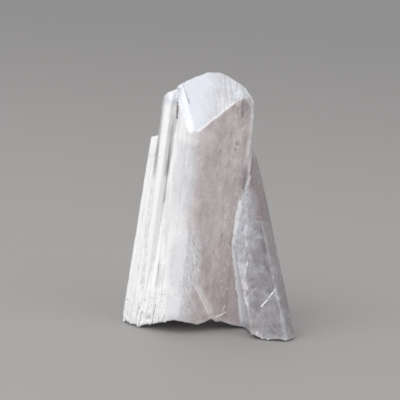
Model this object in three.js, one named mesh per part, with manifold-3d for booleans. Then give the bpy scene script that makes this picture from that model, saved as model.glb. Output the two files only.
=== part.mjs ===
// A danburite crystal group, broken off its rock and standing on the break: one stout crystal with a
// chisel-shaped top, the ribbed columns that grew beside it on the left, and a smaller crystal that
// leans against it on the right. Millimetres, +Z up, the group's front faces -Y.
import * as THREE from "three";
import { mergeVertices } from "three/addons/utils/BufferGeometryUtils.js";
import { ConvexGeometry } from "three/addons/geometries/ConvexGeometry.js";
import Module from "manifold-3d";

const wasm = await Module();
wasm.setup();

// The crystals are drawn with the main one upright. The whole group then turns by this much to the
// right, which brings both feet of the break onto the ground.
const GROUP_TILT = THREE.MathUtils.degToRad(1.75);

// Main crystal: corners of its prism in plan, and the heights at which its top faces pass.
const FRONT_LEFT = [-6.0, -9.0];
const FRONT_RIGHT = [-3.7, -9.0];
const RIGHT_SHOULDER = [4.8, -3.2];
const RIGHT_EDGE = [8.5, 2.6];
const BACK_RIGHT_EDGE = [3.4, 10.4];
const BACK_LEFT_EDGE = [-6.6, 10.8];
const LEFT_EDGE = [-10.5, 5.5];
const VALLEY = [-10.0, -3.1];
const RIDGE = [-2.4, 1.5, 61.5];

// How deep the growth ribs cut, by how well a face kept them.
const FINE_RIB = 0.05;
const MEDIUM_RIB = 0.16;
const DEEP_RIB = 0.32;
const COARSE_RIB = 0.48;

// The columns and ribs on the left, in plan, and how far each shifts for each millimetre it rises.
const INNER_COLUMN = {
  front: [[-12.2, -3.0], [-10.9, -3.9]],
  right: [[-10.9, -3.9], [-9.8, -2.5], [-7.5, 4.0], [-8.4, 8.0]],
  back: [[-10.6, 8.4], [-12.7, 3.6]],
  left: [[-12.7, 3.6], [-13.1, -1.0]],
  lean: { right: 0.027, back: 0.02 },
  foot: [-1.4, -1.0],
};
const OUTER_COLUMN = {
  left: [[-17.3, -0.6], [-15.4, -3.3]],
  front: [[-15.4, -3.3], [-13.0, -4.6]],
  right: [[-13.0, -4.6], [-11.0, -1.0], [-12.0, 6.5]],
  back: [[-14.6, 6.4], [-16.9, 3.0]],
  lean: { right: 0.052, back: 0.035 },
};
const FOOT_RIBS = {
  front: [[-13.6, -4.9], [-6.2, -9.0]],
  inside: [[-6.2, -9.0], [-6.0, 0], [-12.0, 0]],
  lean: { right: 0.01, back: 0.135 },
};

// Each top face: a point it passes through, and its rise for a millimetre to the right and to the back.
const MAIN_TOP = [
  { through: [...FRONT_RIGHT, 48.4], right: 0.075, back: 1.237 },
  { through: [-5.0, -8.0, 49.6], right: 0.5, back: 1.45 },
  { through: [...RIGHT_SHOULDER, 56.2], right: -1.406, back: 0.94 },
  { through: [0.9, 0.9, 61.2], right: -0.3, back: 0.7 },
  { through: RIDGE, right: 0.12, back: -1.15 },
  { through: [-4.2, 1.3, 61.0], right: 1.137, back: -1.2 },
  { through: [4.1, 0, 60.1], right: -0.6, back: -0.8 },
];
const COLUMN_TOP = [
  { through: [-11.0, -3.9, 53.9], right: 0.25, back: 1.3 },
  { through: [-10.8, -1.6, 56.4], right: 0.42, back: -0.6 },
  { through: [-12.6, -1.0, 55.3], right: 1.6, back: 0.1 },
];
const RIB_TOP = [
  { through: [-15.2, -1.6, 43.6], right: 2.2, back: 0.1 },
  { through: [-14.5, -1.6, 44.8], right: 0.9, back: 0.1 },
  { through: [-13.6, -1.2, 45.5], right: 0.2, back: -0.25 },
];
const FOOT_TOP = [
  { through: [-9.5, -6.5, 20], right: 0.9, back: 5.0 },
  { through: [-9.5, -3.4, 33], right: 0.2, back: -3.0 },
];
const LEANING_TOP = [
  { through: [8.6, 3, 44.0], right: -1.15, back: 0.35 },
  { through: [10.3, 3, 41.5], right: -2.3, back: 0.3 },
  { through: [9.4, 5, 42.8], right: -0.7, back: -1.0 },
];

const STEP_TOP = [{ through: [9, 4, 21], right: -1.2, back: 0.4 }];

// The leaning crystal: its section on the ground, and how far it shifts for each millimetre it rises.
const LEANING_CRYSTAL = {
  front: [[9.5, -7.4], [22.5, -7.2]],
  right: [[24.7, -4.0], [24.2, 3.0]],
  back: [[19.5, 9.4], [10.0, 9.8]],
  inside: [[10.0, 9.8], [6.0, 0]],
  lean: { right: -0.336, back: 0.16 },
};
// Its left side is broken off along three planes, and its upper front has flaked down to a ledge.
const BROKEN_SIDE = [
  { through: [10.9, -2.9, 8], outward: [-0.97, -0.21, -0.26] },
  { through: [9.9, -3.5, 24], outward: [-0.53, -0.85, 0.08] },
  { through: [6.7, -2.9, 25.8], outward: [-1, -0.3, 0.2] },
];
const FLAKED_FRONT = { through: [8, -2.6, 28.6], outward: [0, -1, 0.16] };
const FRONT_LEDGE = { through: [8, -2.8, 28.2], outward: [-0.25, 0.35, 1] };

// The main crystal's front right face widens towards the foot: where its right edge runs.
const WIDENING = { through: [6.6, -2.0, 44.5], outward: [1, 0, 0.117] };
const WIDE_FACE = [[4.5, -3.4], [12.6, 2.3]];
const WEDGE_INSIDE = [[12.6, 2.3], [12.6, 6], [4, 6]];

// A low parallel crystal behind, between the main one and the leaning one.
const STEP_FRONT = [[4.0, 0], [10.5, 1.0]];
const STEP_SIDE = [[16.5, 4.5], [14.0, 9.0]];
const STEP_INSIDE = [[14.0, 9.0], [4.0, 9.0]];

// The flat back of the whole group.
const BACK = { through: [0, 10.9, 0], outward: [0, 1, 0] };

// How deep the ground plane cuts into the turned group, so that both feet stand on it.
const CUT_LEVEL = 0.45;

const BLOCK = 400; // a cutting block, larger than the whole group
const BELOW = -12; // prisms start below the break and are cut off there
const UNCUT = 80; // and end above every top

// A repeatable run of numbers from 0 to 1.
let seed = 11;
function chance() {
  seed = (seed * 16807) % 2147483647;
  return seed / 2147483647;
}

// A closed geometry as a solid for joining and cutting.
function solidOf(geometry) {
  const bare = geometry.clone();
  bare.deleteAttribute("normal");
  bare.deleteAttribute("uv");
  const merged = mergeVertices(bare, 1e-4);
  const vertProperties = merged.attributes.position.array;
  const triVerts = new Uint32Array(merged.index.array);
  return new wasm.Manifold(new wasm.Mesh({ numProp: 3, vertProperties, triVerts }));
}

// The solid's surface as a geometry with flat faces.
function geometryOf(solid) {
  const mesh = solid.getMesh();
  const positions = new Float32Array(mesh.numVert * 3);
  for (let i = 0; i < mesh.numVert; i++) {
    const start = i * mesh.numProp;
    positions.set(mesh.vertProperties.subarray(start, start + 3), i * 3);
  }
  const geometry = new THREE.BufferGeometry();
  geometry.setAttribute("position", new THREE.BufferAttribute(positions, 3));
  geometry.setIndex(new THREE.BufferAttribute(mesh.triVerts, 1));
  const flat = geometry.toNonIndexed();
  flat.computeVertexNormals();
  return flat;
}

// Growth ribs from one plan corner to the next, the outside on the right hand: plan points with
// narrow grooves of uneven width and depth. The last corner is left for the next stretch.
function ribbed([x0, y0], [x1, y1], count, depth) {
  const length = Math.hypot(x1 - x0, y1 - y0);
  const inward = [-(y1 - y0) / length, (x1 - x0) / length];
  const at = (share, cut) => [
    x0 + (x1 - x0) * share + inward[0] * cut,
    y0 + (y1 - y0) * share + inward[1] * cut,
  ];
  const points = [at(0, 0)];
  for (let i = 0; i < count; i++) {
    const start = (i + 0.25 + 0.25 * chance()) / count;
    const width = (0.25 + 0.2 * chance()) / count;
    const deep = depth * (0.5 + 0.5 * chance());
    points.push(at(start, 0), at(start + 0.25 * width, deep), at(start + width, 0.3 * deep));
  }
  return points;
}

// A prism with that plan outline, from below the break to above every top.
function prism(outline) {
  const shape = new THREE.Shape(outline.map(([x, y]) => new THREE.Vector2(x, y)));
  const geometry = new THREE.ExtrudeGeometry(shape, { depth: UNCUT - BELOW, bevelEnabled: false });
  return solidOf(geometry.translate(0, 0, BELOW));
}

// The block of space on the outer side of a plane through a point.
function beyond({ through, outward }) {
  const direction = new THREE.Vector3(...outward).normalize();
  const turn = new THREE.Quaternion().setFromUnitVectors(new THREE.Vector3(0, 0, 1), direction);
  const block = new THREE.BoxGeometry(BLOCK, BLOCK, BLOCK).translate(0, 0, BLOCK / 2);
  return solidOf(block.applyQuaternion(turn).translate(...through));
}

// The solid with the top faces listed.
function topped(solid, faces) {
  return faces.reduce(
    (rest, { through, right, back }) => rest.subtract(beyond({ through, outward: [-right, -back, 1] })),
    solid,
  );
}

// The solid sheared, so that it shifts by right and back for each millimetre it rises.
function leaned(solid, { right, back }) {
  const shear = new THREE.Matrix4().makeShear(0, 0, 0, 0, right, back);
  return solidOf(geometryOf(solid).applyMatrix4(shear));
}

function mainCrystal() {
  const outline = [
    FRONT_LEFT,
    ...ribbed(FRONT_RIGHT, RIGHT_SHOULDER, 4, FINE_RIB),
    ...ribbed(RIGHT_SHOULDER, RIGHT_EDGE, 2, FINE_RIB),
    ...ribbed(RIGHT_EDGE, BACK_RIGHT_EDGE, 4, DEEP_RIB),
    ...ribbed(BACK_RIGHT_EDGE, BACK_LEFT_EDGE, 5, COARSE_RIB),
    BACK_LEFT_EDGE,
    LEFT_EDGE,
    ...ribbed(VALLEY, FRONT_LEFT, 3, MEDIUM_RIB),
  ];
  return topped(prism(outline), MAIN_TOP);
}

// The ribbed columns on the left. They stand a little aslant and fan out to the foot.
function innerColumn() {
  const { front, right, back, left, lean, foot } = INNER_COLUMN;
  const outline = [...ribbed(...front, 1, MEDIUM_RIB), ...right, ...ribbed(...back, 3, DEEP_RIB), ...left];
  const aslant = geometryOf(leaned(prism(outline), lean));
  return topped(solidOf(aslant.translate(...foot, 0)), COLUMN_TOP);
}

function outerColumn() {
  const { left, front, right, back, lean } = OUTER_COLUMN;
  const outline = [
    ...ribbed(...left, 2, DEEP_RIB),
    ...ribbed(...front, 2, DEEP_RIB),
    ...right,
    ...ribbed(...back, 2, DEEP_RIB),
    back[1],
  ];
  return topped(leaned(prism(outline), lean), RIB_TOP);
}

// Short ribs that widen the foot of the columns.
function footRibs() {
  const { front, inside, lean } = FOOT_RIBS;
  const outline = [...ribbed(...front, 5, COARSE_RIB), ...inside];
  return topped(leaned(prism(outline), lean), FOOT_TOP);
}

function leaningCrystal() {
  const { front, right, back, inside, lean } = LEANING_CRYSTAL;
  const outline = [
    ...ribbed(...front, 4, FINE_RIB),
    front[1],
    ...ribbed(...right, 2, MEDIUM_RIB),
    right[1],
    ...ribbed(...back, 3, DEEP_RIB),
    ...inside,
  ];
  const flaked = beyond(FLAKED_FRONT).intersect(beyond(FRONT_LEDGE));
  const solid = topped(leaned(prism(outline), lean), LEANING_TOP);
  return [...BROKEN_SIDE.map(beyond), flaked].reduce((rest, lost) => rest.subtract(lost), solid);
}

// The wedge that widens the main crystal's front right face towards the foot.
function wideningWedge() {
  const outline = [...ribbed(...WIDE_FACE, 4, FINE_RIB), ...WEDGE_INSIDE];
  return topped(prism(outline), MAIN_TOP).subtract(beyond(WIDENING));
}

function backStep() {
  const outline = [...STEP_FRONT, ...ribbed(...STEP_SIDE, 2, DEEP_RIB), ...STEP_INSIDE];
  return topped(prism(outline), STEP_TOP);
}

// The hollow of the break between the two feet: its height across the middle of the group, and how
// much lower it gets for each millimetre to the back.
const HOLLOW = [
  [-13.6, -3],
  [-12.4, -0.4],
  [-10.6, 0.2],
  [-8.0, 1.1],
  [-6.2, 1.8],
  [-4.9, 2.2],
  [-3.4, 2.1],
  [-1.8, 1.8],
  [0.8, 1.5],
  [2.4, 2.0],
  [3.9, 2.9],
  [5.1, 2.3],
  [6.3, 2.4],
  [9.0, 1.5],
  [11.2, 1.2],
  [12.9, 0.9],
  [15.6, 0.2],
  [18.4, -3],
];
const HOLLOW_FALL = 0.15;
const HOLLOW_REACH = 40; // longer than the group is deep

function hollow() {
  const shape = new THREE.Shape(HOLLOW.map(([x, z]) => new THREE.Vector2(x, z)));
  const geometry = new THREE.ExtrudeGeometry(shape, { depth: HOLLOW_REACH, bevelEnabled: false });
  const level = geometry.rotateX(Math.PI / 2).translate(0, HOLLOW_REACH / 2, 0);
  const falling = new THREE.Matrix4().makeShear(0, 0, 0, -HOLLOW_FALL, 0, 0);
  return solidOf(level.applyMatrix4(falling));
}

// Flakes lost along edges: each an uneven lump that leaves a hollow with flat facets.
const FLAKE_CORNERS = 14;
const FLAKES = [
  { at: [-5.0, -9.6, 2.6], size: [2.4, 1.4, 1.6] },
  { at: [1.6, -7.4, 3.0], size: [2.2, 1.2, 1.4] },
  { at: [13.0, -8.0, 1.8], size: [2.4, 1.5, 1.5] },
  { at: [19.5, -7.6, 0.6], size: [2.6, 1.3, 1.1] },
  { at: [-16.9, -2.2, 0.4], size: [1.2, 1.6, 1.4] },
  { at: [-11.5, -5.9, 1.6], size: [1.3, 1.0, 2.0] },
  { at: [10.0, -4.9, 21.4], size: [0.5, 0.7, 1.5] },
  { at: [10.4, -5.9, 16.8], size: [0.7, 0.7, 1.6] },
  { at: [11.2, -6.3, 10.2], size: [0.7, 0.8, 1.9] },
];

function flake({ at, size }) {
  const corners = [];
  for (let i = 0; i < FLAKE_CORNERS; i++) {
    const point = new THREE.Vector3(chance() - 0.5, chance() - 0.5, chance() - 0.5).normalize();
    corners.push(point.multiply(new THREE.Vector3(...size)).add(new THREE.Vector3(...at)));
  }
  return solidOf(new ConvexGeometry(corners));
}

let group = mainCrystal();
const grownOn = [
  innerColumn(),
  outerColumn(),
  footRibs(),
  wideningWedge(),
  leaningCrystal(),
  backStep(),
];
for (const crystal of grownOn) group = group.add(crystal);
const lostPieces = [beyond(BACK), hollow(), ...FLAKES.map(flake)];
for (const lost of lostPieces) group = group.subtract(lost);
const standing = solidOf(geometryOf(group).rotateY(GROUP_TILT).translate(0, 0, -CUT_LEVEL));
const rested = standing.subtract(beyond({ through: [0, 0, 0], outward: [0, 0, -1] }));

const danburite = new THREE.MeshStandardMaterial({
  color: 0xe9e2e1,
  roughness: 0.25,
  metalness: 0,
  transparent: true,
  opacity: 0.6,
});
const crystal = new THREE.Mesh(geometryOf(rested), danburite);
crystal.name = "danburite_crystal";

// The part's origin is the middle of its footprint, on the plane it stands on.
const box = new THREE.Box3().setFromObject(crystal);
const middle = box.getCenter(new THREE.Vector3());
crystal.position.set(-middle.x, -middle.y, -box.min.z);

const part = new THREE.Group();
part.add(crystal);
export default part;
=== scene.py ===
"""Dresses a danburite crystal group: worn and broken surface, healed fractures, small studio."""
import math
from types import SimpleNamespace

import bmesh
import bpy
import numpy as np
from bpy.props import FloatProperty, FloatVectorProperty, IntProperty, PointerProperty
from mathutils import Matrix, Vector, kdtree, noise
from mathutils.bvhtree import BVHTree


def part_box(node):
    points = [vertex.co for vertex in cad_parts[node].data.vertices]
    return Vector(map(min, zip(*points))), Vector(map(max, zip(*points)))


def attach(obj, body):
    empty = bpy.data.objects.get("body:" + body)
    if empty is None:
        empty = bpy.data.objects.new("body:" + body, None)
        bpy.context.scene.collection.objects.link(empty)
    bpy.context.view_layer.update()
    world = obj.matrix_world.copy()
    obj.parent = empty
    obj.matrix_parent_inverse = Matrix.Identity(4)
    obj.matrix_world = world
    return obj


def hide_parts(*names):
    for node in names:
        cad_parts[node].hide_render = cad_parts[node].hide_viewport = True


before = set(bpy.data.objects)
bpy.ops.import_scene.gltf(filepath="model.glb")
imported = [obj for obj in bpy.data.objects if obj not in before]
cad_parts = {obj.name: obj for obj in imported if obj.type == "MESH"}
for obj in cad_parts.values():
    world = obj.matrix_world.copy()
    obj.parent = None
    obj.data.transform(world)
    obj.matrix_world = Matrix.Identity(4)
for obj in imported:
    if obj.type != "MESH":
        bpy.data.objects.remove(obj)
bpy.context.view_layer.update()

bl_info = {
    "name": "Danburite Crystal",
    "version": (1, 0, 0),
    "blender": (4, 5, 0),
    "location": "3D View > Sidebar > Danburite",
    "description": "Builds a danburite crystal group: its surface, inner fractures and studio",
    "category": "Object",
}

NODE = "danburite_crystal"
MM = 0.001
LOW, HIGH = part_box(NODE)

# The group stands turned by this angle to the right. The crystals' own frame is upright, in
# millimetres, and its origin lies this far from the middle of the footprint.
GROUP_TILT = math.radians(1.75)
OWN_ORIGIN = (3.5, 0.95, 0.45)


# --- helpers for node trees -----------------------------------------------------------------------


class Wire:
    """A node's output that can be used in sums and products."""

    def __init__(self, graph, socket):
        self.graph = graph
        self.socket = socket

    def math(self, operation, *others, clamp=False):
        settings = {"operation": operation, "use_clamp": clamp}
        return self.graph.add("ShaderNodeMath", settings, dict(enumerate((self, *others))))

    def __add__(self, other):
        return self.math("ADD", other)

    __radd__ = __add__

    def __mul__(self, other):
        return self.math("MULTIPLY", other)

    __rmul__ = __mul__

    def __sub__(self, other):
        return self.math("SUBTRACT", other)

    def __rsub__(self, other):
        return self.graph.add("ShaderNodeMath", {"operation": "SUBTRACT"}, {0: other, 1: self})

    def __truediv__(self, other):
        return self.math("DIVIDE", other)

    def clamped(self):
        return self.math("ADD", 0.0, clamp=True)

    def swing(self):
        """A pattern from 0 to 1 as a swing about zero."""
        return self - 0.5

    def smooth(self, low, high):
        """0 at low, 1 at high and past it, with a soft step between. High may be the lower one."""
        values = {"Value": self, "From Min": low, "From Max": high}
        return self.graph.add("ShaderNodeMapRange", {"interpolation_type": "SMOOTHSTEP"}, values)


class Graph:
    """Adds nodes to a shader or geometry tree."""

    def __init__(self, tree):
        self.tree = tree

    def add(self, kind, settings=None, values=None, output=0):
        """A new node: its settings first, then its sockets' values or links. Returns one output."""
        node = self.tree.nodes.new(kind)
        for name, value in (settings or {}).items():
            setattr(node, name, value)
        for key, value in (values or {}).items():
            self.put(self.find(node.inputs, key), value)
        return Wire(self, self.find(node.outputs, output))

    def find(self, sockets, key):
        if isinstance(key, int):
            return sockets[key]
        return next(s for s in sockets if s.enabled and key in (s.name, s.identifier))

    def put(self, socket, value):
        if isinstance(value, Wire):
            self.tree.links.new(value.socket, socket)
        elif isinstance(value, (tuple, list)) and len(value) == 3 and socket.type == "RGBA":
            socket.default_value = (*value, 1.0)
        else:
            socket.default_value = value

    def colours(self, share, first, second):
        """Two colours mixed: the first at share 0, the second at share 1."""
        settings = {"data_type": "RGBA", "clamp_factor": True}
        values = {"Factor": share, "A": first, "B": second}
        return self.add("ShaderNodeMix", settings, values, "Result")

    def scaled(self, vector, factors):
        values = {0: vector, 1: factors}
        return self.add("ShaderNodeVectorMath", {"operation": "MULTIPLY"}, values)

    def rotated(self, vector, angle):
        """The vector turned about the Y axis."""
        values = {"Vector": vector, "Rotation": (0.0, angle, 0.0)}
        return self.add("ShaderNodeMapping", {"vector_type": "POINT"}, values)

    def noise(self, vector, scale, detail=2.0, roughness=0.5, distortion=0.0):
        values = {
            "Vector": vector,
            "Scale": scale,
            "Detail": detail,
            "Roughness": roughness,
            "Distortion": distortion,
        }
        return self.add("ShaderNodeTexNoise", {"noise_dimensions": "3D"}, values)

    def cells(self, vector, scale, output="Distance"):
        return self.add("ShaderNodeTexVoronoi", None, {"Vector": vector, "Scale": scale}, output)

    def along(self, vector, axis):
        return self.add("ShaderNodeSeparateXYZ", None, {0: vector}, axis)

    def close(self, **wires):
        """The material's output node, with these wires in its sockets."""
        out = self.tree.nodes.new("ShaderNodeOutputMaterial")
        for name, wire in wires.items():
            self.tree.links.new(wire.socket, out.inputs[name])


def empty_material(name):
    """A new material and the graph of its empty tree."""
    mat = bpy.data.materials.new(name)
    mat.use_nodes = True
    mat.node_tree.nodes.clear()
    return mat, Graph(mat.node_tree)


# --- sizes and colours a user may change ----------------------------------------------------------


class DanburiteSurface(bpy.types.PropertyGroup):
    """How the crystal's surface is worn, grooved and broken."""

    cell: FloatProperty(
        name="Cell",
        description="Longest edge of the fine surface mesh",
        default=0.42 * MM,
        unit="LENGTH",
        precision=5,
    )
    chip_depth: FloatProperty(
        name="Chip depth",
        description="Depth of the deepest chips, before each kind of edge takes its share",
        default=1.0 * MM,
        unit="LENGTH",
        precision=5,
    )
    stria_depth: FloatProperty(
        name="Striation depth",
        description="Depth of the growth lines along the prism faces",
        default=0.025 * MM,
        unit="LENGTH",
        precision=5,
    )
    hackle_depth: FloatProperty(
        name="Break roughness",
        description="Depth of the hackly relief on broken faces",
        default=0.75 * MM,
        unit="LENGTH",
        precision=5,
    )
    seed: IntProperty(name="Seed", description="Changes every irregularity at once", default=3)


class DanburiteFinish(bpy.types.PropertyGroup):
    """Colours and optical values of danburite."""

    ior: FloatProperty(name="IOR", description="Index of refraction of danburite", default=1.63)
    clear_roughness: FloatProperty(
        name="Clear roughness",
        description="Roughness of the clear faces",
        default=0.07,
        subtype="FACTOR",
    )
    absorbing: FloatVectorProperty(
        name="Absorbing colour",
        description="Tint that light takes on inside the crystal",
        default=(0.80, 0.72, 0.72),
        subtype="COLOR",
    )
    absorption: FloatProperty(
        name="Absorption",
        description="How strongly the crystal absorbs, for each metre",
        default=30.0,
    )
    flesh: FloatVectorProperty(
        name="Body colour",
        description="Colour of the slightly cloudy, pinkish parts",
        default=(0.9, 0.79, 0.8),
        subtype="COLOR",
    )
    shade: FloatVectorProperty(
        name="Column shade",
        description="Colour of the clearer lines on the white columns",
        default=(0.78, 0.77, 0.79),
        subtype="COLOR",
    )
    rose: FloatVectorProperty(
        name="Lower body",
        description="Colour low on the wide front face, where the pink is deepest",
        default=(0.76, 0.60, 0.61),
        subtype="COLOR",
    )
    # Also the colour of the painted shade in each pit and crevice.
    dusk: FloatVectorProperty(
        name="Dusky colour",
        description="Colour of the clearer leaning crystal",
        default=(0.30, 0.285, 0.31),
        subtype="COLOR",
    )
    blush: FloatVectorProperty(
        name="Upper body",
        description="Colour in the pinkish upper part of the leaning crystal",
        default=(0.25, 0.195, 0.205),
        subtype="COLOR",
    )
    # Also the colour of the painted highlights, and of the painted light on upward faces and in the
    # slot.
    milk: FloatVectorProperty(
        name="Frost colour",
        description="Colour of the white, frosted parts",
        default=(0.97, 0.97, 0.975),
        subtype="COLOR",
    )
    # Also the bluish tint of the painted sky reflection on the chisel top.
    chill: FloatVectorProperty(
        name="Veil colour",
        description="Colour of the bluish veils",
        default=(0.635, 0.657, 0.71),
        subtype="COLOR",
    )


class DanburiteStudio(bpy.types.PropertyGroup):
    """Floor, light and camera."""

    floor: FloatVectorProperty(
        name="Floor colour",
        description="Colour of the floor",
        default=(0.34, 0.33, 0.32),
        subtype="COLOR",
    )
    sky: FloatVectorProperty(
        name="Surroundings",
        description="Colour of the soft light all round",
        default=(0.66, 0.66, 0.67),
        subtype="COLOR",
    )
    key_power: FloatProperty(
        name="Key light",
        description="Power of the large soft light",
        default=5.2,
        unit="POWER",
    )
    fill_power: FloatProperty(
        name="Fill light",
        description="Power of the soft light on the right",
        default=1.7,
        unit="POWER",
    )
    distance: FloatProperty(
        name="Camera distance",
        description="Camera to the middle of the crystal",
        default=0.3,
        unit="LENGTH",
    )
    elevation: FloatProperty(
        name="Camera elevation",
        description="Angle above the horizon",
        default=math.radians(10),
        subtype="ANGLE",
    )
    roll: FloatProperty(
        name="Camera roll",
        description="Turn of the camera on its own axis",
        default=math.radians(4.75),
        subtype="ANGLE",
    )
    lens: FloatProperty(
        name="Lens",
        description="Focal length in mm on a 36 mm sensor",
        default=114.8,
        subtype="NONE",
    )


# --- places on the crystals, in their own frame and in mm -----------------------------------------

# Where the crystal edges are worn round: position, reach and depth.
WORN = (
    ((8.5, 2.4, 55.9), 4.5, 0.5),
    ((5.0, -2.6, 56.6), 3.0, 0.35),
    ((-2.4, 1.5, 61.5), 5.0, 0.45),
    ((3.0, 0.5, 60.0), 4.0, 0.4),
    ((-11.8, -2.6, 55.3), 3.5, 0.45),
    ((-14.5, -1.6, 44.5), 2.4, 0.4),
)

# The corner where the broken side of the leaning crystal meets the main crystal, top to bottom,
# and that broken side's front edge.
SEAM = (
    (7.5, -1.3, 32.0),
    (7.0, -1.65, 24.5),
    (7.36, -1.39, 20.0),
    (8.75, -0.41, 14.0),
    (10.15, 0.57, 8.0),
    (11.3, 1.4, 3.0),
)
FRONT_EDGE = (
    (9.6, -2.9, 28.0),
    (10.0, -3.56, 24.0),
    (10.4, -4.2, 20.0),
    (11.05, -5.16, 14.0),
    (11.7, -6.1, 8.0),
    (13.1, -6.9, 3.0),
)

# The main crystal's right edge, painted paler than the face beside it as a painted highlight.
LIT_RIGHT_EDGE = ((8.5, 2.6, 56.0), (8.5, 2.6, 28.0))

# Crystal edges along which a thin bright line is painted as a highlight.
HIGHLIT_EDGES = (
    ((-3.7, -9.0, 48.4), (4.8, -3.2, 56.2), (8.5, 2.6, 56.4), (8.5, 2.6, 44.0)),
    ((-6.0, -9.0, 48.2), (-8.6, -5.2, 52.6)),
    ((22.5, -7.2, 0.0), (12.4, -2.4, 30.0)),
    ((24.7, -4.0, 0.0), (17.6, -0.7, 21.0)),
)

# The way that the broken side of the leaning crystal faces.
TORN_FACING = (-0.8, -0.6, 0.0)

# Vertical faces of the main crystal on its right, as a point in plan and the direction out of it.
MAIN_RIGHT = (((4.8, -3.2), (0.843, -0.538)), ((8.5, 2.6), (0.837, 0.547)))
WIDE_FACE = ((4.5, -3.4), (0.575, -0.818))

# Rounded patches, as centre and reach: the worn right shoulder, and the sugary ones on the front.
SHOULDER = ((7.6, 1.0, 57.0), (4.5, 5.0, 3.2))
SUGAR = (
    ((-3.6, -8.6, 17.5), (5.2, 6.0, 10.0)),
    ((-7.5, -8.0, 5.5), (9.0, 7.0, 6.5)),
)

# Healed fractures inside the crystals: where the bright edge starts and ends, how it runs inwards,
# how deep and how thick. Each sheet stays SHEET_COVER under the surface.
FRACTURES = (
    ((15.1, -5.3, 8.8), (17.9, -4.8, 13.1), (0.5, 0.9, -0.3), 0.9, 0.12),
    ((-0.3, -6.3, 11.3), (3.6, -3.9, 4.6), (0.4, 0.8, 0.4), 2.6, 0.05),
    ((-3.3, -8.1, 12.2), (-0.6, -6.6, 8.2), (0.5, 0.8, 0.2), 1.8, 0.05),
    ((5.4, -2.6, 4.8), (7.4, -1.4, 5.6), (0.1, 0.9, -0.3), 1.4, 0.1),
    ((1.0, -4.6, 38.0), (3.6, -3.0, 30.0), (0.4, 0.8, 0.1), 3.5, 0.03),
    ((-1.5, -6.0, 27.0), (0.5, -4.8, 18.0), (0.6, 0.8, -0.1), 4.0, 0.03),
    ((11.0, -0.5, 34.0), (12.2, -0.8, 29.0), (0.2, 0.9, 0.2), 2.0, 0.03),
)
SHEET_COVER = 0.25

# Pits on the front of the main crystal, painted dark as painted shade: across, up, half width and
# half height.
PIT_SHADE = (
    (5.7, 52.6, 0.35, 1.3),
    (5.1, 45.9, 0.4, 0.7),
    (4.9, 44.4, 0.45, 0.4),
    (1.5, 44.0, 0.3, 0.45),
    (4.1, 24.2, 0.3, 0.9),
    (2.6, 20.1, 0.2, 0.6),
    (6.6, 33.0, 0.25, 0.8),
)

# Bright fractures on the front: from, to (across, up), half width, and strength.
CRACKS = (
    ((15.1, 8.8), (16.3, 10.5), 0.2, 0.9),
    ((16.5, 10.9), (17.9, 13.1), 0.18, 0.8),
    ((17.9, 11.8), (19.2, 10.8), 0.2, 0.3),
    ((-0.7, 12.0), (3.2, 5.0), 0.18, 0.35),
    ((-0.1, 12.0), (3.4, 5.6), 0.75, 0.25),
    ((-2.4, 11.0), (0.0, 6.6), 0.5, 0.2),
    ((5.0, 4.3), (7.0, 5.3), 0.3, 0.9),
)

# Crevices painted dark as painted shade: beside the dome, at the top of the columns and near their
# foot, in the same way.
CREVICE_SHADE = (
    ((-8.8, 57.8), (-6.8, 54.0), 0.2, 1.0),
    ((-9.4, 53.6), (-9.2, 50.2), 0.32, 0.8),
    ((-9.9, 1.0), (-9.4, 6.5), 0.2, 0.5),
    ((-12.9, 0.8), (-12.4, 4.2), 0.22, 0.5),
    ((-13.6, 2.6), (-13.3, 5.8), 0.16, 0.5),
    ((-7.6, 2.8), (-7.2, 4.6), 0.16, 0.5),
)

# Clear grey stripes down the columns: across at a level, that level, how far the stripe moves to
# the left for each millimetre down, half width, where it fades out at its foot, and strength.
GROOVES = (
    (-9.4, 50.5, 0.058, 0.5, 36.0, 0.7),
    (-12.9, 50.0, 0.02, 0.35, 37.0, 0.8),
)


# --- the crystals' own frame ----------------------------------------------------------------------


def upright(v):
    """Rows of the part's directions turned into the crystals' upright frame."""
    c, s = math.cos(GROUP_TILT), math.sin(GROUP_TILT)
    return np.stack([v[:, 0] * c - v[:, 2] * s, v[:, 1], v[:, 0] * s + v[:, 2] * c], 1)


def own(points):
    """Points of the part's frame, in metres, as rows in the crystals' upright frame in mm."""
    return upright(np.asarray(points, float) / MM + np.array(OWN_ORIGIN))


def to_part(point):
    """A point in the crystals' own frame, in mm, as a place in the part, in metres."""
    x, y, z = point
    c, s = math.cos(GROUP_TILT), math.sin(GROUP_TILT)
    return (Vector((x * c + z * s, y, z * c - x * s)) - Vector(OWN_ORIGIN)) * MM


def step(value, low, high):
    """0 where value is under low, 1 over high, smooth between. Works on arrays."""
    t = np.clip((value - low) / (high - low), 0, 1)
    return t * t * (3 - 2 * t)


# --- the crystal's surface ------------------------------------------------------------------------

# Corners closer than this are one corner, and faces that meet flatter than this are one face.
SAME_CORNER = 1e-6
FLAT = math.radians(0.2)

# Corners closer than this to a cut lie on it, and only faces that reach further than this past a
# cut meet the next one.
ON_CUT = 1e-8
PAST_CUT = 1e-7

# Edges sharper than this wear, and from this angle on they wear in full.
CREASE = math.radians(18)
FULL_CREASE = math.radians(60)

# How the edges wore, by kind: width and depth of the rounding, and depth and length of the chips,
# in mm. An edge wears nothing further away than WEAR_LIMIT.
WEAR = {
    "edge": (0.45, 0.03, 0.16, 2.4),
    "rim": (1.6, 0.5, 0.2, 1.9),
    "fray": (0.9, 0.16, 0.22, 2.3),
}
WEAR_LIMIT = 4

# How far from the rim of the break the handling has smoothed the surface, in mm, and in how many
# rounds. Then the same for the worn corners, as a share of each one's reach.
RIM_REACH = 1.4
RIM_ROUNDS = 6
CORNER_SHARE = 0.7
CORNER_ROUNDS = 4

# Faces that meet at a sharper angle than this keep a crisp edge, and a surface with fewer faces
# than this has gone wrong.
SHARP = math.radians(24)
FEWEST_FACES = 1000

# The lowest place that a point may have: the ground, and no limit to the sides.
GROUND = (-1.0, -1.0, 0.0)


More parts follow.
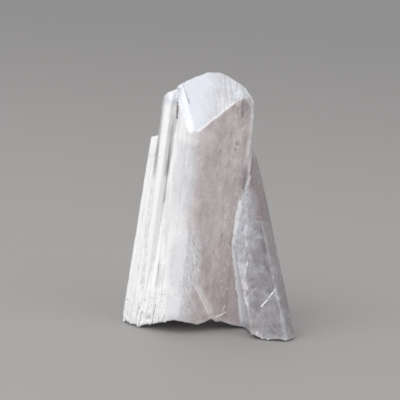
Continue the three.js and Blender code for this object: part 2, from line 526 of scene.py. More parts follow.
def diced(node, cell):
    """A joined, evenly divided copy of the CAD node's mesh that keeps its edges crisp."""
    bm = bmesh.new()
    bm.from_mesh(node.data)
    bmesh.ops.remove_doubles(bm, verts=bm.verts, dist=SAME_CORNER)
    bmesh.ops.dissolve_limit(bm, angle_limit=FLAT, verts=bm.verts, edges=bm.edges)
    for axis in (2, 0, 1):
        direction = Vector((0.0, 0.0, 0.0))
        direction[axis] = 1.0
        reaching = list(bm.faces)
        cuts = math.ceil((HIGH[axis] - LOW[axis]) / cell)
        for i in range(1, cuts):
            height = LOW[axis] + (HIGH[axis] - LOW[axis]) * i / cuts
            parts = set(reaching)
            for face in reaching:
                parts.update(face.edges)
                parts.update(face.verts)
            cut = bmesh.ops.bisect_plane(
                bm, geom=list(parts), dist=ON_CUT, plane_co=direction * height, plane_no=direction
            )
            faces = (part for part in cut["geom"] if isinstance(part, bmesh.types.BMFace))
            reaching = [f for f in faces if max(v.co[axis] for v in f.verts) > height + PAST_CUT]
    bmesh.ops.triangulate(bm, faces=bm.faces)
    bmesh.ops.recalc_face_normals(bm, faces=bm.faces)
    return bm


def edge_kind(middle, a, b):
    """Names the outer edge with this middle, between two faces that look along a and b."""
    x, y, z = own([middle])[0]
    looks_down = min(a.z, b.z) < -0.5
    looks_left = min(a.x, b.x) < -0.45 and max(a.z, b.z) > 0.12
    by_broken_side = x > 4.5 and y < 1.5 and z < 42
    if looks_down:
        return "rim"
    return "fray" if looks_left and by_broken_side else "edge"


def outer_edges(bm):
    """The outer edges by kind, each as its middle, the way out of it and its share of the wear."""
    kinds = {kind: [] for kind in WEAR}
    for e in bm.edges:
        if not e.is_convex:
            continue
        a, b = (f.normal for f in e.link_faces)
        angle = a.angle(b, 0.0)
        if angle < CREASE:
            continue
        middle = (e.verts[0].co + e.verts[1].co) / 2
        sample = (middle, (a + b).normalized(), min(1.0, angle / FULL_CREASE))
        kinds[edge_kind(middle, a, b)].append(sample)
    return kinds


def nearest(samples):
    """A search tree over the middles of these edges."""
    tree = kdtree.KDTree(len(samples))
    for i, sample in enumerate(samples):
        tree.insert(sample[0], i)
    tree.balance()
    return tree


def wear_edges(bm, depth, seed):
    """Rounds and chips the outer edges, most along the rim of the break and the frayed side."""
    kinds = outer_edges(bm)
    trees = {kind: nearest(samples) for kind, samples in kinds.items()}
    # Each seed takes the chips from another part of the noise.
    shift = Vector((seed * 7.3, seed * 3.1, seed * 5.7))
    bm.normal_update()
    facing = [v.normal.copy() for v in bm.verts]
    for v, normal in zip(bm.verts, facing):
        p = Vector(own([v.co])[0])
        here = v.co.copy()
        for kind, tree in trees.items():
            width, rounding, chips, length = WEAR[kind]
            _, i, distance = tree.find(here)
            if distance > WEAR_LIMIT * MM:
                continue
            middle, outward, share = kinds[kind][i]
            # A corner that looks another way, or lies further out than the edge, isn't part of it.
            above = (here - middle).dot(outward)
            if normal.dot(outward) < 0.3 or above > 0.1 * MM:
                continue
            for place, radius, worn in WORN:
                near = (p - Vector(place)).length
                if near < radius:
                    rounding = max(rounding, worn * (1 - (near / radius) ** 2))
            reach = (width + 1.6 * rounding) * MM
            if distance < reach:
                v.co -= outward * (rounding * MM * share * (1 - distance / reach) ** 2)
            chip = noise.noise((p + shift) / length) + 0.5 * noise.noise((p - shift) * 2.2 / length)
            cut = depth * chips * max(0.0, chip) * share
            v.co -= outward * max(0.0, above + cut)
    return kinds


def smooth_round(bm, verts, rounds, upwards):
    """Evens these corners out a few times, with or without moving them up and down."""
    for _ in range(rounds):
        bmesh.ops.smooth_vert(
            bm, verts=verts, factor=0.5, use_axis_x=True, use_axis_y=True, use_axis_z=upwards
        )


def soften(bm, samples):
    """Wears the rim of the break round, and the ends of the ribs with it, then the worn corners."""
    tree = nearest(samples)
    close = [v for v in bm.verts if tree.find(v.co)[2] < RIM_REACH * MM]
    smooth_round(bm, close, RIM_ROUNDS, upwards=False)
    points = own([v.co for v in bm.verts])
    worn = np.zeros(len(points), bool)
    for place, radius, _ in WORN:
        worn |= np.linalg.norm(points - np.array(place), axis=1) < radius * CORNER_SHARE
    close = [v for v, near in zip(bm.verts, worn) if near]
    smooth_round(bm, close, CORNER_ROUNDS, upwards=True)


# --- where each place lies on the crystals --------------------------------------------------------


def distances(mesh, samples):
    """How far each point of the mesh is from the nearest of the edges, in mm."""
    tree = nearest(samples)
    return np.array([tree.find(v.co)[2] for v in mesh.vertices]) / MM


def rows(items, name):
    """The vector that each of a mesh's items has under this name, one a row."""
    values = np.empty(len(items) * 3)
    items.foreach_get(name, values)
    return values.reshape(-1, 3)


def store(mesh, domain, **layers):
    """Keeps one number for each point or corner of the mesh in each named layer."""
    for name, values in layers.items():
        layer = mesh.attributes.new(name, "FLOAT", domain)
        layer.data.foreach_set("value", np.asarray(values, np.float32))


def lens_shape(p, centre, reach):
    """1 inside a rounded patch round centre, 0 outside, soft at its edge."""
    gap = np.sqrt((((p - np.array(centre)) / np.array(reach)) ** 2).sum(1))
    return 1 - step(gap, 0.55, 1.0)


def from_line(p, corners):
    """How far each point is from a line through the corners, in mm."""
    best = np.full(len(p), np.inf)
    for a, b in zip(corners, corners[1:]):
        a, b = np.array(a), np.array(b)
        along = np.clip((p - a) @ (b - a) / ((b - a) @ (b - a)), 0, 1)
        best = np.minimum(best, np.linalg.norm(p - a - along[:, None] * (b - a), axis=1))
    return best


def torn_side(p, n):
    """1 on the broken left side of the leaning crystal."""
    x, y, z = p.T
    facing = step(n @ np.array(TORN_FACING), 0.6, 0.75)
    return facing * step(x, 4.0, 5.0) * (1 - step(z, 38, 40)) * step(-y, -3.0, -1.5)


def on_leaning_crystal(p):
    """1 for points on the leaning crystal, 0 for points on the main one and its widened foot."""
    plan = p[:, :2]
    outside = np.max([(plan - np.array(at)) @ np.array(out) for at, out in MAIN_RIGHT], axis=0)
    before = (plan - np.array(WIDE_FACE[0])) @ np.array(WIDE_FACE[1])
    x, _, z = p.T
    beside = (x > 12.0 - 0.117 * z) | (before > 0.2)
    return ((outside > 0.25) & beside & (x > 5) & (z < 44.6)).astype(float)


def paint(mesh, kinds):
    """Stores for each point where it lies on the crystals, how broken it is there and where an edge
    highlight is painted.
    """
    p = own(rows(mesh.vertices, "co"))
    n = upright(rows(mesh.vertices, "normal"))
    to_rim = distances(mesh, kinds["rim"])
    rim = 1 - step(to_rim, 0.2, 2.0)
    under = step(-n[:, 2], 0.45, 0.75) * step(to_rim, 0.3, 1.8)
    torn = torn_side(p, n)
    off_fray = step(distances(mesh, kinds["fray"]), 0.3, 1.2)
    left = step(-p[:, 0], 6.0, 9.0)
    steep = 1 - step(np.abs(n[:, 2]), 0.3, 0.5)
    to_highlight = np.min([from_line(p, line) for line in HIGHLIT_EDGES], axis=0)
    store(
        mesh,
        "POINT",
        hackle=np.clip(under + 0.3 * torn * off_fray, 0, 1),
        prism=steep * (1 - 0.8 * rim) * left * (1 - torn),
        # Painted highlight: a thin bright line along the listed edges.
        worn_edge=1 - step(to_highlight, 0.05, 0.55),
        rim=rim,
        fray=1 - step(from_line(p, FRONT_EDGE), 0.2, 3.2),
        seam=1 - step(from_line(p, SEAM), 0.1, 1.1),
    )
    layer = mesh.attributes.new("own", "FLOAT_VECTOR", "POINT")
    layer.data.foreach_set("vector", p.astype(np.float32).ravel())


def paint_faces(mesh):
    """Stores for each corner of each face which area of the group it is on, and how white it is
    with its painted light.
    """
    vert = np.empty(len(mesh.loops), np.int32)
    mesh.loops.foreach_get("vertex_index", vert)
    p = own(rows(mesh.vertices, "co")[vert])
    n = upright(np.repeat(rows(mesh.polygons, "normal"), 3, axis=0))
    middles = np.repeat(own(rows(mesh.polygons, "center")), 3, axis=0)
    x, _, z = p.T
    # Upward faces. The left columns' tops and the chisel top are painted whiter on them as painted
    # top light.
    top = step(n[:, 2], 0.3, 0.36)
    under = step(-n[:, 2], 0.4, 0.7)
    torn = torn_side(p, n)
    leaning = on_leaning_crystal(middles) * (1 - torn)
    upper = leaning * step(z + 0.25 * (x - 10), 26.5, 31.5)
    # The leaning crystal's face in the slot beside the main crystal lies in shade; it is painted
    # nearly white below as painted light.
    lit_slot = step(-n[:, 0], 0.8, 0.9) * step(x, 4, 5) * step(z, 27, 30)
    by_seam = 1 - step(from_line(p, SEAM), 2.0, 5.5)

    white = 0.25 + (1 - step(x, -9.5, 0.8))
    # Painted top light on the upward faces of the left columns.
    white = np.maximum(white, 0.7 * top * step(-x, 8, 10))
    white = np.maximum(white, 0.5 * under)
    white = np.maximum(white, 0.55 * lens_shape(p, *SHOULDER))
    # Painted highlight along the main crystal's right edge.
    white += 0.5 * (1 - step(from_line(p, LIT_RIGHT_EDGE), 0.8, 2.6)) * (1 - leaning)
    white = np.where(leaning > 0.5, 0.16 * (1 - upper), white)
    white = np.maximum(white, 0.5 * torn)
    # Painted light that lifts the shade in the slot.
    white = np.maximum(white, 0.9 * lit_slot)

    sugar = 0.7 * (1 - step(z, 4, 12)) * step(-x, 4, 7)
    for patch in SUGAR:
        sugar = np.maximum(sugar, lens_shape(p, *patch) * (1 - top))

    store(
        mesh,
        "CORNER",
        white=white,
        # The chisel top's upward faces, painted white and bluish in the finish as painted top light
        # and a painted sky reflection.
        dome=top * step(z, 46, 48) * step(x, -10.2, -9.2),
        leaning=leaning,
        upper=upper,
        torn=torn,
        sugar=sugar,
        beside=np.maximum(leaning, torn) * by_seam * (1 - lit_slot),
    )


# --- from the divided solid to the finished mesh --------------------------------------------------


def relief_tree(depths):
    """Geometry nodes that cut growth lines and the break's relief into the surface."""
    tree = bpy.data.node_groups.new("Crystal relief", "GeometryNodeTree")
    sockets = tree.interface
    sockets.new_socket("Geometry", in_out="INPUT", socket_type="NodeSocketGeometry")
    inputs = {}
    for name, value in depths.items():
        item = sockets.new_socket(name, in_out="INPUT", socket_type="NodeSocketFloat")
        item.default_value = value
        inputs[name] = item.identifier
    item = sockets.new_socket("Finish", in_out="INPUT", socket_type="NodeSocketMaterial")
    inputs["Finish"] = item.identifier
    sockets.new_socket("Geometry", in_out="OUTPUT", socket_type="NodeSocketGeometry")
    g = Graph(tree)
    source = tree.nodes.new("NodeGroupInput")
    given = {s.name: Wire(g, s) for s in source.outputs if s.name}

    def stored(name, kind="FLOAT"):
        settings = {"data_type": kind}
        return g.add("GeometryNodeInputNamedAttribute", settings, {"Name": name}, "Attribute")

    place = stored("own", "FLOAT_VECTOR")
    shifted = g.add("ShaderNodeVectorMath", {"operation": "ADD"}, {0: place, 1: given["Seed"]})
    lines = g.noise(g.scaled(shifted, (1.0, 1.0, 0.035)), 0.4)
    waves = g.noise(g.scaled(shifted, (1.0, 1.0, 0.3)), 0.16)
    lumps = g.noise(shifted, 0.28, detail=4.0, roughness=0.55)
    facets = g.cells(shifted, 0.42)
    rough = lumps.smooth(0.3, 0.7) * 0.6 + facets * 0.4
    cut = (
        stored("prism") * lines.smooth(0.46, 0.56) * given["Striation depth"]
        + waves * 0.12 * MM
        + stored("hackle") * rough * given["Break roughness"]
    )
    normal = g.add("GeometryNodeInputNormal")
    inward = g.add("ShaderNodeVectorMath", {"operation": "SCALE"}, {0: normal, "Scale": cut * -1.0})
    values = {"Geometry": given["Geometry"], "Offset": inward}
    moved = g.add("GeometryNodeSetPosition", None, values)
    spot = g.add("GeometryNodeInputPosition")
    resting = g.add("ShaderNodeVectorMath", {"operation": "MAXIMUM"}, {0: spot, 1: GROUND})
    moved = g.add("GeometryNodeSetPosition", None, {"Geometry": moved, "Position": resting})
    real = g.add("GeometryNodeRealizeInstances", None, {"Geometry": moved})
    values = {"Geometry": real, "Material": given["Finish"]}
    finished = g.add("GeometryNodeSetMaterial", None, values)
    sink = tree.nodes.new("NodeGroupOutput")
    tree.links.new(finished.socket, sink.inputs[0])
    return tree, inputs


def plain_mesh(obj):
    """Swaps an object's mesh for what its modifiers make of it, and removes them."""
    evaluated = obj.evaluated_get(bpy.context.evaluated_depsgraph_get())
    mesh = bpy.data.meshes.new_from_object(evaluated)
    old = obj.data
    obj.modifiers.clear()
    obj.data = mesh
    bpy.data.meshes.remove(old)
    mesh.name = obj.name


def keep_inside(mesh, node, depth=0.0):
    """Moves every point that is outside the solid, or less deep in it than this, to that depth."""
    solid = BVHTree.FromPolygons(
        [v.co.copy() for v in node.data.vertices],
        [tuple(face.vertices) for face in node.data.polygons],
    )
    for v in mesh.vertices:
        spot, normal, _, _ = solid.find_nearest(v.co)
        if (v.co - spot).dot(normal) > -depth:
            v.co = spot - normal * depth
    mesh.update()


# --- healed fractures -----------------------------------------------------------------------------

# A sheet's cells along and across, how far it waves to each side in mm, and the share of its
# thickness that its edges keep.
SHEET_CELLS = 14
SHEET_WAVE = 0.25
SHEET_EDGE = 0.05

# The lacy colours of a sheet, dense and thin.
LACE_WHITE = (0.98, 0.98, 1.0)
LACE_BLUE = (0.86, 0.88, 0.94)


def fracture_side(bm, fracture, side, seed):
    """One face of a thin wavy sheet that runs from its bright edge into the crystal, as rows."""
    start, end, inward, depth, thickness = fracture
    a, b, into = Vector(start), Vector(end), Vector(inward).normalized()
    flat = (b - a).cross(into).normalized()
    face = []
    for i in range(SHEET_CELLS + 1):
        u = i / SHEET_CELLS
        # It reaches deepest in the middle and little at both ends.
        uneven = 0.8 + 0.4 * noise.noise(Vector((u * 3, seed, 0)))
        reach = depth * math.sin(math.pi * (0.08 + 0.84 * u)) * uneven
        row = []
        for j in range(SHEET_CELLS + 1):
            v = j / SHEET_CELLS
            p = a.lerp(b, u) + into * (reach * v)
            wave = SHEET_WAVE * noise.noise(p * 0.8 + Vector((seed * 3.7, 0, 0)))
            swell = math.sin(math.pi * u) ** 0.5 * (1 - v) + SHEET_EDGE
            row.append(bm.verts.new(to_part(p + flat * (wave + side * thickness * swell))))
        face.append(row)
    return face


def fracture_sheet(bm, fracture, seed):
    """A closed thin sheet: its two faces and the narrow strip all round."""
    low, high = (fracture_side(bm, fracture, side, seed) for side in (-0.5, 0.5))
    n = SHEET_CELLS
    for i in range(n):
        for j in range(n):
            bm.faces.new((low[i][j], low[i + 1][j], low[i + 1][j + 1], low[i][j + 1]))
            bm.faces.new((high[i][j], high[i][j + 1], high[i + 1][j + 1], high[i + 1][j]))
        for j in (0, n):
            bm.faces.new((low[i][j], high[i][j], high[i + 1][j], low[i + 1][j]))
            bm.faces.new((low[j][i], low[j][i + 1], high[j][i + 1], high[j][i]))


def fracture_finish(name):
    """White and lacy, as light scatters on the tiny cavities of a healed fracture."""
    mat, g = empty_material(name)
    lace = g.noise(in_mm(g), 1.6, detail=4.0, roughness=0.7)
    tint = g.colours(lace, LACE_WHITE, LACE_BLUE)
    values = {"Base Color": tint, "Roughness": 0.4, "Alpha": lace.smooth(0.38, 0.6)}
    g.close(Surface=g.add("ShaderNodeBsdfPrincipled", None, values))
    return mat


# --- the crystal's finish -------------------------------------------------------------------------

# The masks that paint() and paint_faces() store and the finish reads.
PAINTED = (
    "white",
    "dome",
    "leaning",
    "upper",
    "sugar",
    "rim",
    "fray",
    "torn",
    "seam",
    "beside",
    "worn_edge",
)

# How far the growth lines of the chisel top, and the scratches, lean from upright.
GROWTH_LINE_ANGLE = math.radians(15)
SCRATCH_ANGLE = math.radians(24)

# The tint of the clear parts, and how high the finest relief stands, in metres.
CLEAR_TINT = (0.96, 0.955, 0.955)
BUMP_HEIGHT = 0.0004


def in_mm(g):
    """The object's own coordinates in mm."""
    return g.scaled(g.add("ShaderNodeTexCoord", output="Object"), (1000.0, 1000.0, 1000.0))


def known_place(g):
    """What is known about a place of the surface: where it lies on the crystals, and the masks."""
    values = {
        "Vector": in_mm(g),
        "Location": tuple(own([(0.0, 0.0, 0.0)])[0]),
        "Rotation": (0.0, -GROUP_TILT, 0.0),
    }
    place = g.add("ShaderNodeMapping", {"vector_type": "POINT"}, values)
    at = SimpleNamespace(place=place)
    at.x, at.y, at.z = (g.along(place, axis) for axis in "XYZ")
    for name in PAINTED:
        setattr(at, name, g.add("ShaderNodeAttribute", {"attribute_name": name}, output="Fac"))
    return at


def add_patterns(g, at):
    """The noises and cells that make every area uneven."""

    def noise_over(stretch, scale, place=at.place, **more):
        """Noise that is drawn out along each axis with a small share in stretch."""
        return g.noise(g.scaled(place, stretch), scale, **more)

    growth = g.rotated(at.place, GROWTH_LINE_ANGLE)
    scratched = g.rotated(at.place, SCRATCH_ANGLE)
    at.streaks = noise_over((1.0, 1.0, 0.06), 1.4, detail=4.0, roughness=0.65)
    at.fine = noise_over((1.0, 1.0, 0.05), 4.5)
    at.down = noise_over((1.0, 0.05, 0.05), 2.9, growth, detail=3.0, roughness=0.6)
    at.band = g.along(g.cells(g.scaled(at.place, (1.0, 0.3, 0.012)), 0.8, output="Color"), "X")
    at.clouds = noise_over((1.0, 1.0, 0.7), 0.45, detail=5.0, roughness=0.62)
    at.mottle = noise_over((1.0, 1.0, 0.5), 0.26, detail=3.0, roughness=0.55)
    at.grain = g.noise(at.place, 2.6, detail=4.0, roughness=0.75)
    at.veils = g.noise(at.place, 0.3, detail=4.0, roughness=0.6, distortion=0.6)
    at.scratches = noise_over((1.0, 1.0, 0.1), 2.6, scratched, detail=3.0, roughness=0.7)
    at.crumbly = noise_over((1.0, 1.0, 0.45), 1.1, detail=4.0, roughness=0.7)
    at.soft = g.noise(at.place, 0.9, detail=3.0)
    at.sparkle = noise_over((1.0, 1.0, 0.5), 3.2).smooth(0.64, 0.72)
    at.flecks = noise_over((1.0, 1.0, 0.4), 1.9).smooth(0.62, 0.72)
    at.spangled = g.noise(at.place, 2.9, detail=3.0, roughness=0.7).smooth(0.54, 0.62)
    smears = noise_over((1.0, 1.0, 0.3), 0.5, detail=3.0, roughness=0.65)
    at.smudges = smears.smooth(0.56, 0.72)
    specks = g.cells(g.scaled(at.place, (1.0, 1.0, 0.55)), 1.3)
    at.pitted = specks.smooth(0.3, 0.1) * g.noise(at.place, 0.35).smooth(0.5, 0.6) * (1 - at.dome)


def add_regions(at):
    """Masks, from 0 to 1, of the areas that look different from what is round them."""
    at.front = at.y.smooth(0.0, -2.0)
    at.rear = at.y.smooth(0.0, 6.0) * at.leaning
    at.left = at.x.smooth(-3.0, -9.0)
    at.upper = (at.upper + at.clouds.swing() * 0.8).smooth(0.35, 0.65) * at.leaning
    at.cap = at.x.smooth(-8.5, -10.5) * at.z.smooth(52.0, 54.0)
    at.worn_shoulder = at.z.smooth(52.5, 55.5) * at.x.smooth(4.5, 6.5) * (1 - at.dome)
    at.veiled = at.leaning * (1 - at.upper) * at.veils.smooth(0.42, 0.66)

    # The bluish face left of the middle, the pale ledge at its left, and smears on the wide face.
    facet = at.x.smooth(-8.4, -8.1) * at.x.smooth(-3.4, -3.8)
    at.facet = facet * at.z.smooth(46.5, 44.5) * at.z.smooth(22.0, 33.0) * at.front
    ledge = (at.x.smooth(-3.3, -3.6) - 0.25) * at.z.smooth(26.0, 33.0)
    at.ledge = ledge * at.z.smooth(48.0, 45.0) * at.front
    smudges = at.smudges * at.front * at.x.smooth(-5.0, -1.0)
    at.smudges = smudges * at.z.smooth(14.0, 22.0) * (1 - at.leaning)

    # The strip along the leaning crystal's right edge, which slopes to the left as it rises.
    at.outer_side = (at.x + at.z * 0.368 - 25.3).smooth(-2.4, -0.6) * at.leaning

    # The bevelled left edge of the chisel top, with a crumbly border on both sides.
    bevel = at.x + (at.z - 57.8) * 0.395 + 8.8 + at.crumbly.swing() * 1.8
    lower = at.x + at.z * 0.3 + at.crumbly.swing() * 2.5 - 8.0
    at.bevel = bevel.smooth(0.4, -0.3) * at.dome * lower.smooth(-0.4, 0.6)

    # The crushed, whitest rock where the crystals meet and along the broken side's front edge.
    ragged = (at.seam + at.crumbly.swing() * 1.8).smooth(0.45, 0.85)
    frayed = (at.fray * 0.5 + at.crumbly.swing() * 2.6).smooth(0.55, 1.1) * at.fray
    at.shattered = 1 - (1 - ragged) * (1 - frayed * 0.4)


def add_marks(at):
    """The single marks on the front: painted shade in each pit and crevice, bright fractures and
    grey stripes.
    """

    def pit(x, z, wide, high):
        """Painted shade in a pit, with an uneven edge."""
        across = (at.x - x) / wide
        up = (at.z - z) / high
        gap = (across * across + up * up).math("SQRT") + at.grain.swing() * 1.7
        return gap.smooth(1.0, 0.35) * at.front

    def crack(start, end, width, strength):
        """A thin line from one place (across, up) to another."""
        run, rise = end[0] - start[0], end[1] - start[1]
        along = ((at.x - start[0]) * run + (at.z - start[1]) * rise) / (run * run + rise * rise)
        along = along.clamped()
        across = at.x - along * run - start[0]
        up = at.z - along * rise - start[1]
        gap = (across * across + up * up).math("SQRT") + at.grain.swing() * width * 3.5
        return gap.smooth(width, width * 0.3) * at.front * strength

    def groove(x, level, drift, width, foot, strength):
        """A stripe down the columns that wavers with the streaks."""
        middle = (level - at.z) * -drift + x
        gap = (at.x - middle + at.streaks.swing() * 0.9).math("ABSOLUTE")
        stripe = gap.smooth(width * 1.35, width * 0.65) * at.z.smooth(foot - 3, foot + 3)
        return stripe * at.front * strength

    # Painted shade in each pit.
    at.pits = sum(pit(*values) for values in PIT_SHADE)
    at.cracks = sum(crack(*values) for values in CRACKS)
    # Painted shade in each crevice.
    at.crevices = sum(crack(*values) for values in CREVICE_SHADE)
    at.grooves = sum(groove(*values) for values in GROOVES)


def frost_and_light_cover(at):
    """How frosted and white the surface is, painted highlights and painted light included, less the
    painted shade of each pit and crevice: 0 is clear, 1 is white.
    """
    by_seam = (
        at.clouds.swing() * 1.2
        + at.crumbly.swing() * 0.9
        + at.z.smooth(22.0, 6.0) * 1.1
        + 0.1
    )
    cover = (
        at.white
        + at.clouds.swing() * (0.8 - at.leaning * 0.3)
        + at.mottle.swing() * (0.7 - at.leaning * 0.2)
        - at.facet * 0.1
        - at.smudges * 0.26
        + at.ledge * 0.1
        - at.streaks.smooth(0.54, 0.57) * at.left * 0.1
        - at.band.smooth(0.68, 0.72) * at.left * 0.28
        + at.grain.swing() * 0.45
        + at.flecks * (0.15 + at.x.smooth(3.0, 6.0) * (1 - at.leaning) * 0.5)
        + at.outer_side * (at.sparkle * 0.8 - 0.2)
        + at.beside * by_seam
        + at.z.smooth(12.0, 4.0) * at.left * 0.3
        + at.z.smooth(18.0, 4.0) * at.leaning * 0.13
        + at.rear * 0.14
        + at.sugar * (at.grain.swing() * 1.8 + at.scratches.swing() * 1.6 + 0.45)
        + at.rim * 0.35
        + at.torn * at.crumbly.swing() * 1.8
        + at.shattered * 0.85
        # Painted highlight along the listed edges.
        + at.worn_edge * 0.22 * (at.grain + 0.3)
        + at.cracks
        - at.grooves * 0.8
        # Painted shade in each pit.
        - at.pits * 0.5
    )
    # What follows is cut out of the whitest areas too, with the painted shade of each crevice.
    cover = cover.math("MINIMUM", 1.2) - at.sugar * at.left * at.spangled * 0.6 - at.crevices * 0.8
    return cover - at.pitted * (at.z.smooth(22.0, 4.0) * at.left * 0.6 + 0.25)


def frost_and_light_colour(g, at, cover, finish):
    """The colour of the frosted parts: pink, grey, bluish or white, with painted light on the
    chisel top and the painted shade of each pit and crevice.
    """
    rosy = at.z.smooth(28.0, 12.0) * at.x.smooth(-2.0, 3.0)
    whole = 1 - at.shattered
    body = g.colours(rosy * 0.7, tuple(finish.flesh), tuple(finish.rose))
    body = g.colours(at.left, body, tuple(finish.shade))
    body = g.colours((at.leaning - at.rear * 0.5) * whole, body, tuple(finish.dusk))
    body = g.colours(at.upper * (1 - at.rear * 0.6) * whole, body, tuple(finish.blush))
    # The chisel top is painted white here as painted top light.
    tone = (cover * 1.15 - 0.2 + at.dome * 0.9).clamped()
    body = g.colours(tone, body, tuple(finish.milk))

    lines = at.down.smooth(0.45, 0.53) * at.x.smooth(-3.5, 2.0)
    # How bluish the chisel top is painted, as a painted sky reflection, less on its growth lines
    # and bevel.
    on_dome = (
        1.0
        - lines * 0.5
        # The painted edge highlight stays white, not bluish.
        - at.worn_edge * 0.6
        - at.bevel * at.grain * 0.5
        + at.clouds.swing() * 0.9
        - (at.grain - 0.45) * at.x.smooth(-5.5, -1.5) * 0.9
    )
    chilled = (
        at.cap * 0.8
        + at.dome * on_dome
        + at.beside * 0.8
        + at.sugar * (0.45 - at.left * at.z.smooth(14.0, 8.0) * 0.35)
        + at.torn * 0.5 * whole
        + at.veiled * 0.7
        + at.facet * 0.45
        - at.outer_side * 0.4
        + at.worn_shoulder * 0.3
    )
    body = g.colours(chilled.clamped(), body, tuple(finish.chill))
    # Painted shade: each pit and crevice is darkened towards the dusky colour.
    dark = (at.pits + at.crevices * 0.7).clamped() * 0.8
    return g.colours(dark, body, tuple(finish.dusk))


def surface_bump(g, at):
    """Fine grooves, grain and scratches that are too small for the mesh."""
    height = (
        at.streaks * at.left * 0.12
        + at.fine * at.left * 0.04
        + at.soft * 0.3
        + at.down * at.dome * 0.6
        + at.grain * (at.sugar * 0.5 + 0.12)
        + at.scratches * at.sugar * 0.4
    )
    values = {"Strength": 0.35, "Distance": BUMP_HEIGHT, "Height": height}
    return g.add("ShaderNodeBump", None, values)


def danburite(name, finish):
    """The crystal's finish: clear danburite with frosted, milky and pitted areas, and painted
    light, highlights and shade.
    """
    mat, g = empty_material(name)
    at = known_place(g)
    add_patterns(g, at)
    add_regions(at)
    add_marks(at)
    cover = frost_and_light_cover(at)
    bump = surface_bump(g, at)
    frosted = g.add(
        "ShaderNodeBsdfPrincipled",
        None,
        {
            "Base Color": frost_and_light_colour(g, at, cover, finish),
            "Roughness": at.grain * 0.3 + 0.28,
            "IOR": finish.ior,
            "Coat Weight": 0.6,
            "Coat Roughness": 0.12,
            "Normal": bump,
        },
    )
    glass = g.add(
        "ShaderNodeBsdfPrincipled",
        None,
        {
            "Base Color": CLEAR_TINT,
            "Roughness": finish.clear_roughness,
            "IOR": finish.ior,
            "Transmission Weight": 1.0,
            "Normal": bump,
        },
    )
    share = (
        cover * 0.6
        + 0.34
        # The chisel top's painted light stays mostly opaque.
        + at.dome * 0.25
        + at.upper * 0.15
        + at.leaning * 0.05
        # Each pit's painted shade is kept opaque.
        + at.pits * 0.3
    )
    absorbing = {"Color": tuple(finish.absorbing), "Density": finish.absorption}
    g.close(
        Surface=g.add("ShaderNodeMixShader", None, {0: share.clamped(), 1: glass, 2: frosted}),
        Volume=g.add("ShaderNodeVolumeAbsorption", None, absorbing),
    )
    return mat


# --- studio ---------------------------------------------------------------------------------------

FLOOR_RADIUS = 40.0
FLOOR_MOTTLE = (0.4, 0.4, 0.4)

# The lights are square, this large and this far from the crystal, in these directions from it.
LIGHT_SIZE = 0.8
LIGHT_DISTANCE = 0.9
KEY_DIRECTION = (-0.47, -0.60, 0.65)
FILL_DIRECTION = (0.75, -0.45, 0.50)

# The camera's sensor in mm, and how far the view is moved across and up, as shares of its width.
SENSOR = 36.0
VIEW_SHIFT = (-0.0475, 0.004)


def placed(name, data):
    """A new object in the scene, with this mesh, light or camera."""
    obj = bpy.data.objects.new(name, data)
    bpy.context.scene.collection.objects.link(obj)
    return obj


def as_mesh(bm, name):
    """A new mesh made of the edited one, which is freed."""
    mesh = bpy.data.meshes.new(name)
    bm.to_mesh(mesh)
    bm.free()
    return mesh


def floor_finish(name, colour):
    """A matt, faintly mottled floor."""
    mat, g = empty_material(name)
    mottle = g.noise(g.add("ShaderNodeTexCoord", output="Object"), 9.0, detail=3.0)
    tint = g.colours(mottle * 0.12, tuple(colour), FLOOR_MOTTLE)
    g.close(Surface=g.add("ShaderNodeBsdfPrincipled", None, {"Base Color": tint, "Roughness": 0.7}))
    return mat


def soft_light(name, power, middle, direction):
    """A large light that looks at the middle from this direction."""
    light = bpy.data.lights.new(name, "AREA")
    light.shape = "RECTANGLE"
    light.size = LIGHT_SIZE
    light.size_y = LIGHT_SIZE
    light.energy = power
    lamp = placed(name, light)
    lamp.location = middle + Vector(direction).normalized() * LIGHT_DISTANCE
    lamp.rotation_euler = (middle - lamp.location).to_track_quat("-Z", "Y").to_euler()


def studio_camera(studio, middle):
    """A camera in front of the crystal, a little above it and turned on its own axis."""
    data = bpy.data.cameras.new("camera")
    data.lens = studio.lens
    data.sensor_width = SENSOR
    data.shift_x, data.shift_y = VIEW_SHIFT
    data.clip_start = 0.01
    camera = placed("camera", data)
    direction = Vector((0.0, -math.cos(studio.elevation), math.sin(studio.elevation)))
    place = middle + direction * studio.distance
    aim = (-direction).to_track_quat("-Z", "Y").to_matrix().to_4x4()
    camera.matrix_world = Matrix.Translation(place) @ aim @ Matrix.Rotation(studio.roll, 4, "Z")
    return camera


# --- the steps that build it all ------------------------------------------------------------------


class DANBURITE_OT_crystal(bpy.types.Operator):
    """Make the crystal group's worn, grooved and broken surface"""

    bl_idname = "danburite.crystal"
    bl_label = "Crystal group"

    def execute(self, context):
        settings = context.scene.danburite_surface
        bm = diced(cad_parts[NODE], settings.cell)
        kinds = wear_edges(bm, settings.chip_depth, settings.seed)
        soften(bm, kinds["rim"])
        mesh = as_mesh(bm, "danburite_surface")
        paint(mesh, kinds)
        paint_faces(mesh)
        crystal = placed("danburite_surface", mesh)
        values = {
            "Striation depth": settings.stria_depth,
            "Break roughness": settings.hackle_depth,
            "Seed": float(settings.seed),
        }
        modifier = crystal.modifiers.new("Relief", "NODES")
        modifier.node_group, inputs = relief_tree(values)
        values["Finish"] = danburite("danburite", context.scene.danburite_finish)
        for name, value in values.items():
            modifier[inputs[name]] = value
        plain_mesh(crystal)
        keep_inside(crystal.data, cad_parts[NODE])
        crystal.data.shade_smooth()
        crystal.data.set_sharp_from_angle(angle=SHARP)
        if len(crystal.data.polygons) < FEWEST_FACES:
            raise RuntimeError("the crystal's surface came out empty")
        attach(crystal, "root")
        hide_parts(NODE)
        return {"FINISHED"}


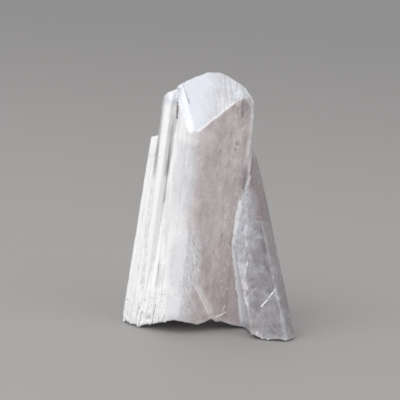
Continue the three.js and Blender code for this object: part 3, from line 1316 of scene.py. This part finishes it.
class DANBURITE_OT_fractures(bpy.types.Operator):
    """Put the healed fractures inside the crystals"""

    bl_idname = "danburite.fractures"
    bl_label = "Healed fractures"

    def execute(self, context):
        bm = bmesh.new()
        for i, fracture in enumerate(FRACTURES):
            fracture_sheet(bm, fracture, seed=i)
        bmesh.ops.recalc_face_normals(bm, faces=bm.faces)
        mesh = as_mesh(bm, "healed_fractures")
        keep_inside(mesh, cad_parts[NODE], SHEET_COVER * MM)
        mesh.shade_smooth()
        mesh.materials.append(fracture_finish("healed_fracture"))
        sheets = placed("healed_fractures", mesh)
        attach(sheets, "root")
        return {"FINISHED"}


class DANBURITE_OT_studio(bpy.types.Operator):
    """Set up the pale floor, the soft light and the camera"""

    bl_idname = "danburite.studio"
    bl_label = "Studio"

    def execute(self, context):
        studio = context.scene.danburite_studio
        middle = Vector((LOW + HIGH) / 2)

        bpy.ops.mesh.primitive_circle_add(vertices=96, radius=FLOOR_RADIUS, fill_type="NGON")
        floor = context.object
        floor.name = "floor"
        floor.data.materials.append(floor_finish("floor", studio.floor))

        world = bpy.data.worlds.new("studio")
        world.use_nodes = True
        backdrop = world.node_tree.nodes["Background"]
        backdrop.inputs["Color"].default_value = (*studio.sky, 1.0)
        backdrop.inputs["Strength"].default_value = 1.0
        context.scene.world = world
        context.scene.view_settings.view_transform = "Standard"

        soft_light("key", studio.key_power, middle, KEY_DIRECTION)
        soft_light("fill", studio.fill_power, middle, FILL_DIRECTION)
        context.scene.camera = studio_camera(studio, middle)
        return {"FINISHED"}


class DANBURITE_PT_panel(bpy.types.Panel):
    """Lists the steps that build the crystal and its studio"""

    bl_label = "Danburite"
    bl_idname = "DANBURITE_PT_panel"
    bl_space_type = "VIEW_3D"
    bl_region_type = "UI"
    bl_category = "Danburite"

    def draw(self, context):
        for step_class in STEPS:
            self.layout.operator(step_class.bl_idname)


STEPS = (DANBURITE_OT_crystal, DANBURITE_OT_fractures, DANBURITE_OT_studio)
CLASSES = (DanburiteSurface, DanburiteFinish, DanburiteStudio, *STEPS, DANBURITE_PT_panel)


def register():
    for item in CLASSES:
        bpy.utils.register_class(item)
    bpy.types.Scene.danburite_surface = PointerProperty(type=DanburiteSurface)
    bpy.types.Scene.danburite_finish = PointerProperty(type=DanburiteFinish)
    bpy.types.Scene.danburite_studio = PointerProperty(type=DanburiteStudio)


def unregister():
    del bpy.types.Scene.danburite_studio
    del bpy.types.Scene.danburite_finish
    del bpy.types.Scene.danburite_surface
    for item in reversed(CLASSES):
        bpy.utils.unregister_class(item)


def main():
    register()
    bpy.ops.danburite.crystal()
    bpy.ops.danburite.fractures()
    bpy.ops.danburite.studio()


if __name__ == "__main__":
    main()
